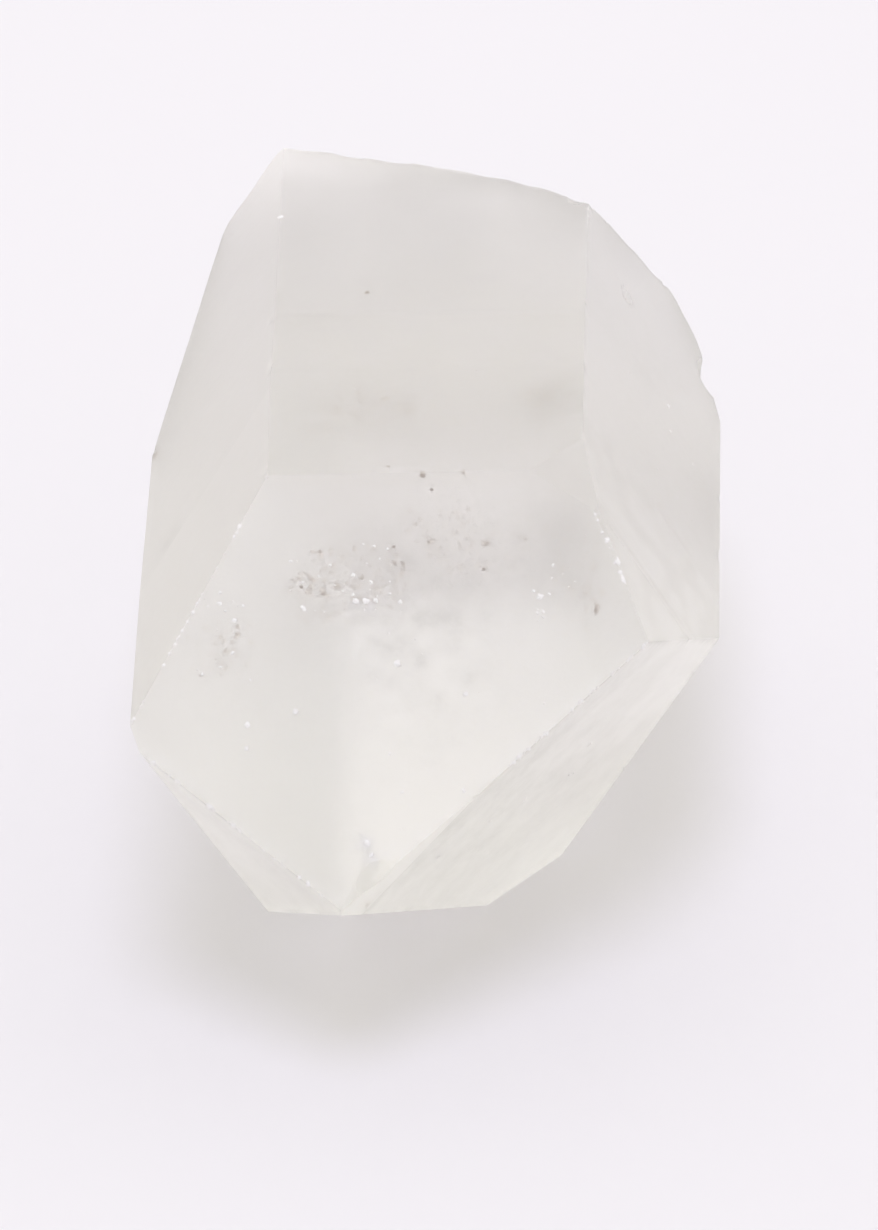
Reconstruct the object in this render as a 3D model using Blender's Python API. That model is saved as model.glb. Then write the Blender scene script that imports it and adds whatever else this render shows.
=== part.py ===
"""Clear quartz point: one crystal lying on a flat side of its six-sided prism.

The crystal's long axis lies level along Y. The tip points to -Y, the broken base faces +Y, and
prism face m4 is the flat one underneath, at Z = 0. All lengths are in millimetres until the
last step, which writes the mesh in metres with the origin at the bottom centre of the box.

A face is given by its turn about the long axis (0 is up, 90 is to the right, seen from the
tip), by how far it faces away from the tip (a prism face faces 90 degrees away from it) and by
its distance from the crystal's centre line.
"""

import math

import bmesh
import bpy
from mathutils import Matrix, Vector, noise

NAME = "quartz_point"
MM = 0.001

# Quartz keeps the same angles between its faces, whatever their size.
PRISM = 90.0
TERMINATION = 51.8
SECTOR = 60.0

# Prism faces: sector, distance, and how far growth turned and leaned each from the ideal.
PRISM_FACES = {
    "m1_top": (0, 11.52, -0.4, 0.6),
    "m6_upper_right": (1, 12.35, -1.8, 0.2),
    "m5_lower_right": (2, 11.7, 0.2, -0.3),
    "m4_underside": (3, 13.1, 0.0, 0.0),
    "m3_lower_left": (4, 10.8, 0.2, 0.3),
    "m2_upper_left": (5, 13.6, 10.6, 0.0),
}

# Termination faces: three big rhombohedra, and a steep one that hangs over the underside.
TERMINATION_FACES = {
    "r1_top": (0, 11.05, 0.2, -0.2),
    "r5_lower_right": (2, 11.05, 0.6, -0.4),
    "r3_lower_left": (4, 17.7, -0.6, -5.8),
    "z4_under_tip": (3, 14.6, 0.0, 0.3),
}

# Narrow faces where growth bent a big face or bridged two: turn, angle from the tip, distance.
BRIDGING_FACES = {
    "top_front_half": (-0.4, 90.2, 11.45),
    "top_front_edge": (-0.4, 89.4, 11.46),
    "top_right_corner": (14.6, 74.8, 12.75),
    "left_front_band": (-48.7, 89.0, 13.57),
    "right_front_band": (57.9, 88.7, 12.47),
    "right_bevel": (28.6, 65.9, 13.66),
    "tip_step": (117.0, 46.4, 12.13),
}

# Ledges left by growth, each a shallow band across a face: face, start and end along the axis
# from the centre (tip positive), depth, skew in the face, and the part of the width it crosses.
LEDGES = (
    ("m1_top", -9.9, -9.5, 0.05, 0.0, (-1.0, 1.0)),
    ("top_front_half", -6.1, -5.2, 0.04, 0.0, (-1.0, 1.0)),
    ("top_front_half", 2.8, 3.05, 0.05, 0.0, (-1.0, 0.3)),
    ("m6_upper_right", 5.2, 5.45, 0.08, -9.0, (-0.3, 1.0)),
    ("m6_upper_right", -1.5, -1.3, 0.04, -14.0, (0.0, 0.8)),
    ("m5_lower_right", -4.2, -3.2, 0.05, 0.0, (-1.0, 1.0)),
    ("m5_lower_right", -8.8, -8.4, 0.04, 0.0, (-1.0, 0.3)),
    ("m3_lower_left", 3.4, 4.3, 0.05, 0.0, (-1.0, 1.0)),
    ("m3_lower_left", -1.9, -1.5, 0.04, 0.0, (-0.2, 1.0)),
)
LEDGE_HALF_WIDTH = 9.0

# The broken base: flat runs of the fracture as (back distance at the axis, slope to the
# right, slope upward), rounded into each other over BASE_ROUNDING.
BASE_RUNS = (
    (28.4, -0.257, -0.5),
    (30.9, -0.57, -0.63),
    (63.2, 3.9, 0.6),
    (30.9, -0.95, 0.3),
    (52.2, -2.68, 0.8),
    (20.0, 0.1, 0.56),
)
BASE_ROUNDING = 0.35
# Shell-shaped scoops in the fracture: centre right and up, radius, depth.
BASE_SCOOPS = (
    (-5.5, 4.0, 6.5, 0.9),
    (4.5, 1.5, 5.5, 0.7),
    (0.5, -7.0, 6.0, 0.8),
    (9.0, 5.5, 4.0, 0.45),
)
RIPPLE_CENTRE = (-9.0, 10.5)
RIPPLE_LENGTH = 2.3
RIPPLE_DEPTH = 0.04
ROUGH_DEPTH = 0.16
ROUGH_SIZE = 2.6
BASE_GRID = 0.48
BASE_SPAN = 38.0

# Chips knocked off the edges: centre (right, along the axis, up from the centre) and radius.
CHIPS = (
    ((13.9, -17.6, 1.9), 1.3),
    ((12.9, -20.5, 4.2), 0.9),
    ((6.8, -19.9, 11.9), 0.75),
    ((-15.0, -8.7, 3.9), 0.5),
    ((9.55, -15.7, 8.3), 0.45),
    ((-2.2, 21.3, 0.65), 3.0),
)

GLASS_TINT = (0.93, 0.925, 0.915, 1.0)
QUARTZ_IOR = 1.544


def start_empty():
    """Remove every object of the open scene and return the model's and cutters' collections."""
    for ob in list(bpy.data.objects):
        bpy.data.objects.remove(ob, do_unlink=True)
    made = []
    for name in (NAME + "_model", NAME + "_cutters"):
        col = bpy.data.collections.new(name)
        bpy.context.scene.collection.children.link(col)
        made.append(col)
    return made


def facing(turn, angle):
    """Outward direction of a face from its turn about the axis and its angle from the tip."""
    turn, angle = math.radians(turn), math.radians(angle)
    side = math.sin(angle)
    return Vector((side * math.sin(turn), -math.cos(angle), side * math.cos(turn)))


def all_faces():
    """Every flat face of the crystal as name: (outward direction, distance)."""
    faces = {}
    for table, ideal in ((PRISM_FACES, PRISM), (TERMINATION_FACES, TERMINATION)):
        for name, (sector, distance, turned, leaned) in table.items():
            faces[name] = (facing(sector * SECTOR + turned, ideal + leaned), distance)
    for name, (turn, angle, distance) in BRIDGING_FACES.items():
        faces[name] = (facing(turn, angle), distance)
    return faces


def cut_flat(bm, normal, distance):
    """Cut everything beyond a plane off a closed convex mesh and close it again."""
    geom = bm.verts[:] + bm.edges[:] + bm.faces[:]
    cut = bmesh.ops.bisect_plane(
        bm, geom=geom, plane_co=normal * distance, plane_no=normal, clear_outer=True
    )
    rim = [e for e in cut["geom_cut"] if isinstance(e, bmesh.types.BMEdge)]
    if rim:
        bmesh.ops.contextual_create(bm, geom=rim)


def new_object(name, bm, collection):
    """Put a bmesh into a new object with its faces pointing out."""
    bmesh.ops.recalc_face_normals(bm, faces=bm.faces)
    mesh = bpy.data.meshes.new(name)
    bm.to_mesh(mesh)
    bm.free()
    ob = bpy.data.objects.new(name, mesh)
    collection.objects.link(ob)
    return ob


def flat_faced_body(faces, collection):
    """A block wider than the crystal, cut by each of its flat faces in turn."""
    bm = bmesh.new()
    bmesh.ops.create_cube(bm, size=2 * BASE_SPAN)
    for normal, distance in faces.values():
        cut_flat(bm, normal, distance)
    return new_object(NAME, bm, collection)


def base_height(right, up):
    """How far back the fracture lies: the nearest of its flat runs, rounded where they meet."""
    runs = [back + right * a + up * b for back, a, b in BASE_RUNS]
    low = min(runs)
    total = sum(math.exp((low - r) / BASE_ROUNDING) for r in runs)
    back = low - BASE_ROUNDING * math.log(total)
    for x, z, radius, depth in BASE_SCOOPS:
        reach = 1 - ((right - x) ** 2 + (up - z) ** 2) / radius**2
        back -= depth * max(reach, 0.0)
    away = math.hypot(right - RIPPLE_CENTRE[0], up - RIPPLE_CENTRE[1])
    back += RIPPLE_DEPTH * math.sin(2 * math.pi * away / RIPPLE_LENGTH)
    spot = Vector((right, up, 0.0)) / ROUGH_SIZE
    return back + ROUGH_DEPTH * noise.fractal(spot, 0.8, 2.1, 4)


def base_cutter(collection):
    """The space behind the broken base: a grid shaped like the fracture, drawn out backward."""
    bm = bmesh.new()
    steps = round(BASE_SPAN / BASE_GRID)
    bmesh.ops.create_grid(
        bm,
        x_segments=steps,
        y_segments=steps,
        size=BASE_SPAN / 2,
        matrix=Matrix.Rotation(math.radians(90), 4, "X"),
    )
    for v in bm.verts:
        v.co.y = base_height(v.co.x, v.co.z)
    drawn = bmesh.ops.extrude_face_region(bm, geom=bm.faces[:])["geom"]
    for v in drawn:
        if isinstance(v, bmesh.types.BMVert):
            v.co.y = 2 * BASE_SPAN
    return new_object("cutter_base", bm, collection)


def ledge_cutter(number, ledge, faces, collection):
    """A slab that sinks one band across a prism face by the depth of a growth step."""
    face, start, end, depth, skew, (left, right) = ledge
    normal, distance = faces[face]
    turn = Matrix.Rotation(math.radians(skew), 3, normal)
    across = turn @ normal.cross(Vector((0, -1, 0))).normalized()
    along = across.cross(normal)
    thick = 1.0
    size = Vector(((right - left) * LEDGE_HALF_WIDTH, end - start, thick))
    axes = Matrix((across, along, normal)).transposed().to_4x4()
    middle = (
        normal * (distance - depth + thick / 2)
        + along * (start + end) / 2
        + across * (left + right) / 2 * LEDGE_HALF_WIDTH
    )
    bm = bmesh.new()
    bmesh.ops.create_cube(
        bm, size=1, matrix=Matrix.Translation(middle) @ axes @ Matrix.Diagonal(size).to_4x4()
    )
    return new_object(f"cutter_ledge_{number}", bm, collection)


def chip_cutter(number, chip, collection):
    """A ball whose surface leaves the shell-shaped hollow of a chip."""
    (right, along, up), radius = chip
    bm = bmesh.new()
    bmesh.ops.create_icosphere(
        bm, subdivisions=3, radius=radius, matrix=Matrix.Translation((right, -along, up))
    )
    return new_object(f"cutter_chip_{number}", bm, collection)


def cut_away(body, cutters):
    """Take each cutter out of the body with an exact Boolean and keep the result as its mesh."""
    for cutter in cutters:
        cutter.hide_render = True
        cutter.display_type = "WIRE"
        mod = body.modifiers.new("cut_" + cutter.name, "BOOLEAN")
        mod.operation = "DIFFERENCE"
        mod.solver = "EXACT"
        mod.object = cutter
        bpy.context.view_layer.update()
        seen = body.evaluated_get(bpy.context.evaluated_depsgraph_get())
        mesh = bpy.data.meshes.new_from_object(seen)
        body.modifiers.clear()
        body.data = mesh


def quartz_material():
    """Colourless quartz: see-through, faintly grey, with its true index of refraction."""
    mat = bpy.data.materials.new("clear_quartz")
    mat.use_nodes = True
    shader = mat.node_tree.nodes["Principled BSDF"]
    shader.inputs["Base Color"].default_value = GLASS_TINT
    shader.inputs["Roughness"].default_value = 0.04
    shader.inputs["Metallic"].default_value = 0.0
    shader.inputs["IOR"].default_value = QUARTZ_IOR
    shader.inputs["Transmission Weight"].default_value = 0.95
    return mat


def set_in_metres(body):
    """Scale the mesh to metres and put the origin at the bottom centre of its box."""
    xs, ys, zs = zip(*(v.co for v in body.data.vertices))
    bottom = Vector(((min(xs) + max(xs)) / 2, (min(ys) + max(ys)) / 2, min(zs)))
    body.data.transform(Matrix.Scale(MM, 4) @ Matrix.Translation(-bottom))
    body.data.update()


model, cutting = start_empty()
crystal_faces = all_faces()
quartz = flat_faced_body(crystal_faces, model)
cutters = [base_cutter(cutting)]
cutters += [ledge_cutter(i, ledge, crystal_faces, cutting) for i, ledge in enumerate(LEDGES)]
cutters += [chip_cutter(i, chip, cutting) for i, chip in enumerate(CHIPS)]
cut_away(quartz, cutters)
set_in_metres(quartz)
quartz.data.materials.clear()
quartz.data.materials.append(quartz_material())
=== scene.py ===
import math

import bmesh
import bpy
import numpy as np
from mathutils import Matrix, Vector


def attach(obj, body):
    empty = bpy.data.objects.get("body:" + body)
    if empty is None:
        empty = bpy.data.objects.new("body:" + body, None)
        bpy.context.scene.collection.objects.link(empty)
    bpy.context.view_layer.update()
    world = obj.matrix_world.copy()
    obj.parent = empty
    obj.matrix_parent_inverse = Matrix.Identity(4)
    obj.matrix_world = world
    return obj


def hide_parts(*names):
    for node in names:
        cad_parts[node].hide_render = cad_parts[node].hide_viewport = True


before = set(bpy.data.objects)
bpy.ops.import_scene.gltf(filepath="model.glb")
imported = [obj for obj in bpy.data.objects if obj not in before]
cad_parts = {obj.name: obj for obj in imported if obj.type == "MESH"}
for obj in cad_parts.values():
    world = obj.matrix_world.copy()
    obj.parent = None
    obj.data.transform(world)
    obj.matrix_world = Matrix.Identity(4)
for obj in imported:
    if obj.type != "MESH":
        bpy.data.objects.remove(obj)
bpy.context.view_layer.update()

# ---- The crystal -------------------------------------------------------------------------
# One point of clear rock crystal, grown as a single piece: a six-sided prism that ends in three
# big sloping faces, snapped off its matrix at the other end. It lies loose on prism face m4.

MM = 0.001
# Lengths are in millimetres from the crystal's centre line: right, back, up. The centre line
# stands this far from the middle of the CAD box's floor.
AXIS_AT = np.array([0.3053, -2.2293, 13.1])
# Each flat face: turn about the axis (0 up, 90 right, seen from the tip), angle away from the
# tip, distance from the centre, and how frosted growth and wear have left it.
FACES = {
    "m1_top": (-0.4, 90.6, 11.52, 0.30),
    "m6_upper_right": (58.2, 90.2, 12.35, 0.34),
    "m5_lower_right": (120.2, 89.7, 11.7, 0.36),
    "m4_underside": (180.0, 90.0, 13.1, 0.33),
    "m3_lower_left": (240.2, 90.3, 10.8, 0.36),
    "m2_upper_left": (310.6, 90.0, 13.6, 0.90),
    "r1_top": (0.2, 51.6, 11.05, 0.27),
    "r5_lower_right": (120.6, 51.4, 11.05, 0.36),
    "r3_lower_left": (239.4, 46.0, 17.7, 0.30),
    "z4_under_tip": (180.0, 52.1, 14.6, 0.30),
    "top_front_half": (-0.4, 90.2, 11.45, 0.26),
    "top_front_edge": (-0.4, 89.4, 11.46, 0.26),
    "top_right_corner": (14.6, 74.8, 12.75, 0.55),
    "left_front_band": (-48.7, 89.0, 13.57, 0.95),
    "right_front_band": (57.9, 88.7, 12.47, 0.30),
    "right_bevel": (28.6, 65.9, 13.66, 0.42),
    "tip_step": (117.0, 46.4, 12.13, 0.34),
}
FACE_NAMES = list(FACES)
PRISM_FACES = [i for i, name in enumerate(FACE_NAMES) if abs(FACES[name][1] - 90) < 2]
BROKEN = len(FACES)

# The broken base: flat runs of the fracture (back distance at the axis, slope to the right,
# slope upward), rounded into each other, with shell-shaped scoops (right, up, radius, depth).
BASE_RUNS = (
    (28.4, -0.257, -0.5),
    (30.9, -0.57, -0.63),
    (63.2, 3.9, 0.6),
    (30.9, -0.95, 0.3),
    (52.2, -2.68, 0.8),
    (20.0, 0.1, 0.56),
)
BASE_ROUNDING = 0.3
BASE_SCOOPS = (
    (-5.5, 4.0, 6.5, 0.9),
    (4.5, 1.5, 5.5, 0.7),
    (0.5, -7.0, 6.0, 0.8),
    (9.0, 5.5, 4.0, 0.45),
)
RIPPLE_CENTRE = (-9.0, 10.5)
RIPPLE_LENGTH = 2.3
RIPPLE_DEPTH = 0.04
# Unevenness of the fracture: size of the lumps and their depth.
BASE_LUMPS = ((3.0, 0.16), (1.4, 0.09), (0.7, 0.05), (0.4, 0.022))
# Low down the fracture turns steeper by this slope, and there it is torn into small hackles.
UNDERCUT_TOP = -3.9
UNDERCUT_SLOPE = 0.142
HACKLE_TOP = -8.2
HACKLE_SIZE = 0.95
HACKLE_DEPTH = 0.32
HACKLE_EASE, HACKLE_PATCH = 1.5, 3.2  # height in which they begin, and size of their patches
BASE_SUNK = 0.04
BASE_FROST = 0.8

# Chips knocked off the edges: middle of the ball (right, back, up) and its radius.
CHIPS = (
    ((13.9, 17.6, 1.9), 1.3),
    ((12.9, 20.5, 4.2), 0.9),
    ((6.8, 19.9, 11.9), 0.75),
    ((-15.0, 8.7, 3.9), 0.5),
    ((9.55, 15.7, 8.3), 0.45),
    ((-2.2, -21.3, 0.65), 3.0),
)
CHIP_FROST = 0.3
# Growth ledges, each a shallow band across a face: face, start and end along the axis (tip
# positive), depth, lean of the band in degrees, and the part of the width it crosses.
LEDGES = (
    ("m1_top", -9.9, -9.5, 0.05, 0.0, (-1.0, 1.0)),
    ("top_front_half", -6.1, -5.2, 0.04, 0.0, (-1.0, 1.0)),
    ("top_front_half", 2.8, 3.05, 0.05, 0.0, (-1.0, 0.3)),
    ("m6_upper_right", 5.2, 5.45, 0.08, -9.0, (-0.3, 1.0)),
    ("m6_upper_right", -1.5, -1.3, 0.04, -14.0, (0.0, 0.8)),
    ("m5_lower_right", -4.2, -3.2, 0.05, 0.0, (-1.0, 1.0)),
    ("m5_lower_right", -8.8, -8.4, 0.04, 0.0, (-1.0, 0.3)),
    ("m3_lower_left", 3.4, 4.3, 0.05, 0.0, (-1.0, 1.0)),
    ("m3_lower_left", -1.9, -1.5, 0.04, 0.0, (-0.2, 1.0)),
)
LEDGE_HALF_WIDTH = 9.0
LEDGE_RAMP = 0.2  # how far a ledge takes to reach its depth
LEDGE_ENDS = 20.0  # how sharply it stops across the face
ON_FACE = 0.25  # how near its face a point has to lie
# Growth marks in the skin: depth, size and seed of the lumps that make them.
PRISM_STEPS = ((0.004, 0.9, 3), (0.002, 0.42, 4))
STEP_STRETCH = (0.06, 1.0, 0.06)
HILLOCKS = ((0.012, 4.5, 5), (0.004, 1.6, 6))
ETCHING = (0.03, 2.4, 7)
MARKS_FADE = 0.35  # width beside an edge in which they fade out
# The surface is measured outward from the middle of the box, along lines through an even
# lattice on the box's six sides: cells across its width, length and height. Its points stand
# a little more than CELL apart, and triangles thinner than SLIVER are merged away.
MIDDLE = np.array([-0.42, 2.01, -0.8])
LATTICE = (108, 172, 92)
HALF_BOX = np.array([14.34, 22.77, 12.3])
CELL = 0.2
SLIVER = 0.004
HALVINGS = 26  # of a ray, to find the fracture on it
NEWTON_STEPS = 5
# How far off a point may slide onto a corner or an edge, and how far a corner may stand out.
CORNER_SLIDE, EDGE_SLIDE, STANDS_OUT = 2 * CELL, 1.6 * CELL, 0.01
EDGE_PASSES, UNFOLDING_PASSES = 3, 8
NO_AREA = 1e-5


def facing(turn, angle):
    """Outward direction: sine of the angle times (sine, cosine) of the turn, and -cosine."""
    turn, angle = math.radians(turn), math.radians(angle)
    side = math.sin(angle)
    return np.array([side * math.sin(turn), -math.cos(angle), side * math.cos(turn)])


NORMALS = np.array([facing(turn, angle) for turn, angle, _, _ in FACES.values()])
DISTANCES = np.array([distance for _, _, distance, _ in FACES.values()])
BOUNDARIES = BROKEN + 1 + len(CHIPS)


def lumps(at, size, seed):
    """Smooth random lumps, -1 to 1: a number at each corner of a lattice of cubes this size,
    hashed from its place and the seed, eased from corner to corner by 3t^2 - 2t^3."""
    q = at / size + seed * 7.313
    cell = np.floor(q).astype(np.int64)
    t = q - cell
    t = t * t * (3 - 2 * t)
    total = 0.0
    for corner in np.ndindex(2, 2, 2):
        key = (cell + corner) * np.array([73856093, 19349663, 83492791])
        key = np.bitwise_xor.reduce(key, axis=-1) & 0xFFFFFFFF
        key = ((key ^ (key >> 13)) * 1274126177) & 0xFFFFFFFF
        key = ((key ^ (key >> 16)) * 668265263) & 0xFFFFFFFF
        value = (key >> 8) / float(1 << 23) - 1.0
        total = total + value * np.prod(np.where(corner, t, 1 - t), axis=-1)
    return total


def hackled(right, up):
    """Where the crack tore into hackles: 1 in a band above the underside, broken up by lumps,
    easing to 0 above HACKLE_TOP."""
    flat = np.stack([right, up, 0 * right], axis=-1)
    band = np.clip((HACKLE_TOP - up) / HACKLE_EASE, 0, 1)
    return band * np.clip(0.6 + 1.1 * lumps(flat, HACKLE_PATCH, 12), 0, 1)


def base_back(right, up):
    """How far back the fracture lies: the nearest flat run, eased by a soft minimum, less the
    scoops, plus a sine ripple round its start, four sizes of lumps and, low down, hackles:
    ridges of 1 - |lumps|."""
    runs = np.stack([back + right * a + up * b for back, a, b in BASE_RUNS])
    low = runs.min(axis=0)
    back = low - BASE_ROUNDING * np.log(np.exp((low - runs) / BASE_ROUNDING).sum(axis=0))
    for x, z, radius, depth in BASE_SCOOPS:
        reach = 1 - ((right - x) ** 2 + (up - z) ** 2) / radius**2
        back = back - depth * np.clip(reach, 0, None)
    away = np.hypot(right - RIPPLE_CENTRE[0], up - RIPPLE_CENTRE[1])
    back = back + RIPPLE_DEPTH * np.sin(2 * math.pi * away / RIPPLE_LENGTH)
    back = back + UNDERCUT_SLOPE * np.clip(UNDERCUT_TOP - up, 0, None) - BASE_SUNK
    flat = np.stack([right, up, 0 * right], axis=-1)
    for size, depth in BASE_LUMPS:
        back = back + depth * lumps(flat, size, size)
    ridge = 1 - np.abs(lumps(flat * (1.0, 0.7, 1.0), HACKLE_SIZE, 11))
    return back - HACKLE_DEPTH * hackled(right, up) * (ridge - 0.5)


def outside(which, at):
    """How far points stand outside one boundary: a flat face, the fracture or a chip."""
    if which < BROKEN:
        return at @ NORMALS[which] - DISTANCES[which]
    if which == BROKEN:
        return at[:, 1] - base_back(at[:, 0], at[:, 2])
    centre, radius = CHIPS[which - BROKEN - 1]
    return radius - np.linalg.norm(at - centre, axis=1)


def slope(which, at):
    """Direction and rate in which `outside` grows, from differences over a hundredth."""
    if which < BROKEN:
        return np.broadcast_to(NORMALS[which], at.shape)
    step = 0.01
    here = outside(which, at)
    return np.stack([(outside(which, at + step * e) - here) / step for e in np.eye(3)], axis=-1)


def ray_lengths(toward):
    """Length from the middle to every boundary along each direction, infinite where missed.
    Flat face: gap over cosine. Ball: the nearer root of its quadratic. Fracture: halving."""
    lengths = np.full((BOUNDARIES, len(toward)), np.inf)
    for i in range(BROKEN):
        cosine = toward @ NORMALS[i]
        ahead = cosine > 1e-6
        lengths[i, ahead] = (DISTANCES[i] - MIDDLE @ NORMALS[i]) / cosine[ahead]
    far = lengths[:BROKEN].min(axis=0)
    for i, (centre, radius) in enumerate(CHIPS):
        along = toward @ (np.array(centre) - MIDDLE)
        left = radius**2 - np.sum((np.array(centre) - MIDDLE) ** 2) + along**2
        hit = (left > 0) & (along > 0)
        lengths[BROKEN + 1 + i, hit] = along[hit] - np.sqrt(left[hit])
    tested = np.flatnonzero(outside(BROKEN, MIDDLE + toward * far[:, None]) > 0)
    ray = toward[tested]
    low, high = np.zeros(len(tested)), far[tested]
    for _ in range(HALVINGS):
        half = (low + high) / 2
        out = outside(BROKEN, MIDDLE + ray * half[:, None]) > 0
        low, high = np.where(out, low, half), np.where(out, half, high)
    lengths[BROKEN, tested] = high
    return lengths


def box_lattice(counts):
    """Points on the six sides of a box from -1 to 1 and the triangles between them."""
    top = np.array(counts)
    cells = []
    for axis in range(3):
        a, b = [k for k in range(3) if k != axis]
        i, j = np.meshgrid(np.arange(top[a]), np.arange(top[b]), indexing="ij")
        for end in (0, top[axis]):
            corners = np.zeros(i.shape + (4, 3), dtype=np.int64)
            for k, (di, dj) in enumerate(((0, 0), (1, 0), (1, 1), (0, 1))):
                corners[..., k, a], corners[..., k, b] = i + di, j + dj
                corners[..., k, axis] = end
            flip = (end == 0) != (axis == 1)
            corners = corners[..., ::-1, :] if flip else corners
            cells.append(corners.reshape(-1, 4, 3))
    cells = np.concatenate(cells)
    key = (cells[..., 0] * (top[1] + 1) + cells[..., 1]) * (top[2] + 1) + cells[..., 2]
    unique, quads = np.unique(key.ravel(), return_inverse=True)
    quads = quads.reshape(-1, 4)
    z = unique % (top[2] + 1)
    y = unique // (top[2] + 1) % (top[1] + 1)
    x = unique // (top[2] + 1) // (top[1] + 1)
    points = np.stack([x, y, z], axis=-1) / top * 2 - 1
    turned = (np.arange(len(quads)) % 2 == 0)[:, None]
    first = np.where(turned, quads[:, [0, 1, 2]], quads[:, [0, 1, 3]])
    second = np.where(turned, quads[:, [0, 2, 3]], quads[:, [1, 2, 3]])
    return points, np.concatenate([first, second])


def slide(at, meets):
    """Move points the short way onto every boundary listed for them, by Newton steps: each
    is the pseudo-inverse of the slopes times the gaps."""
    at = at.copy()
    for _ in range(NEWTON_STEPS):
        gap = np.zeros(meets.shape)
        rate = np.zeros(meets.shape + (3,))
        for k in range(meets.shape[1]):
            for i in np.unique(meets[:, k]):
                some = meets[:, k] == i
                gap[some, k] = outside(i, at[some])
                rate[some, k] = slope(i, at[some])
        at -= np.einsum("nij,nj->ni", np.linalg.pinv(rate, rcond=1e-3), gap)
    return at


def crystal_surface():
    """The crystal's skin: each lattice line is followed out to the first boundary it meets.
    The point nearest each crystal corner is slid onto it, and of every two neighbours on
    different faces the nearer is slid onto the edge between them, so edges stay straight.
    A point whose triangles fold over goes back to where its line met the skin."""
    lattice, triangles = box_lattice(LATTICE)
    toward = lattice * HALF_BOX
    toward /= np.linalg.norm(toward, axis=1)[:, None]
    lengths = ray_lengths(toward)
    own = lengths.argmin(axis=0)
    start = MIDDLE + toward * lengths.min(axis=0)[:, None]
    at = start.copy()
    held = 1 << own

    sides = np.concatenate([triangles[:, [0, 1]], triangles[:, [1, 2]], triangles[:, [2, 0]]])
    sides = np.unique(np.sort(sides, axis=1), axis=0)
    sides = np.concatenate([sides, sides[:, ::-1]])
    sides = sides[own[sides[:, 0]] != own[sides[:, 1]]]
    lowest, highest = np.full(len(at), BOUNDARIES), np.full(len(at), -1)
    np.minimum.at(lowest, sides[:, 0], own[sides[:, 1]])
    np.maximum.at(highest, sides[:, 0], own[sides[:, 1]])
    near = np.flatnonzero((highest >= 0) & (lowest != highest))
    meets = np.sort(np.stack([own[near], lowest[near], highest[near]], axis=1), axis=1)
    corner = slide(at[near], meets)
    moved = np.linalg.norm(corner - at[near], axis=1)
    beyond = np.stack([outside(i, corner) for i in range(BOUNDARIES)]).max(axis=0)
    for meeting in np.unique(meets, axis=0):
        same = (meets == meeting).all(axis=1) & (moved < CORNER_SLIDE) & (beyond < STANDS_OUT)
        if same.any():
            best = np.flatnonzero(same)[moved[same].argmin()]
            at[near[best]] = corner[best]
            held[near[best]] = (1 << meeting).sum()

    for _ in range(EDGE_PASSES):
        a, b = sides[:, 0], sides[:, 1]
        sides = sides[(held[a] & held[b]) == 0]
        a, b = sides[:, 0], sides[:, 1]
        gap = np.zeros(len(sides))
        for i in range(BOUNDARIES):
            some = own[b] == i
            gap[some] = np.abs(outside(i, at[a[some]]))
        gap[held[a] != 1 << own[a]] = np.inf
        order = np.lexsort((gap, a))
        a, b, gap = a[order], b[order], gap[order]
        key, opposite = a * len(at) + b, b * len(at) + a
        by_key = np.argsort(key)
        found = by_key[np.searchsorted(key, opposite, sorter=by_key).clip(max=len(key) - 1)]
        there = np.where(key[found] == opposite, gap[found], np.inf)
        chosen = (gap <= there) & np.isfinite(gap)
        a, b = a[chosen], b[chosen]
        a, first = np.unique(a, return_index=True)
        meets = np.stack([own[a], own[b[first]]], axis=1)
        edge = slide(at[a], meets)
        short = np.linalg.norm(edge - at[a], axis=1) < EDGE_SLIDE
        at[a[short]] = edge[short]
        held[a[short]] |= 1 << meets[short, 1]

    for _ in range(UNFOLDING_PASSES):
        p, q, r = (at[triangles[:, k]] for k in range(3))
        across = np.cross(q - p, r - p)
        out = (across * (p - MIDDLE)).sum(axis=1)
        size = np.linalg.norm(across, axis=1)
        folded = triangles[(out < 0.5 * size) & (size > NO_AREA)]
        folded = np.unique(folded)
        folded = folded[held[folded] != 1 << own[folded]]
        if len(folded) == 0:
            break
        at[folded] = start[folded]
        held[folded] = 1 << own[folded]
    return at, triangles


def without_slivers(at, triangles):
    """The same surface with triangles that lie flat along an edge merged away."""
    rough_skin = bpy.data.meshes.new("skin_with_slivers")
    rough_skin.from_pydata(at.tolist(), [], triangles.tolist())
    bm = bmesh.new()
    bm.from_mesh(rough_skin)
    bmesh.ops.dissolve_degenerate(bm, dist=SLIVER, edges=bm.edges[:])
    bmesh.ops.triangulate(bm, faces=bm.faces[:])
    bm.to_mesh(rough_skin)
    bm.free()
    at = np.zeros(3 * len(rough_skin.vertices), dtype=np.float32)
    rough_skin.vertices.foreach_get("co", at)
    triangles = np.zeros(3 * len(rough_skin.polygons), dtype=np.int32)
    rough_skin.polygons.foreach_get("vertices", triangles)
    bpy.data.meshes.remove(rough_skin)
    return at.reshape(-1, 3).astype(float), triangles.reshape(-1, 3).astype(np.int64)


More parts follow.
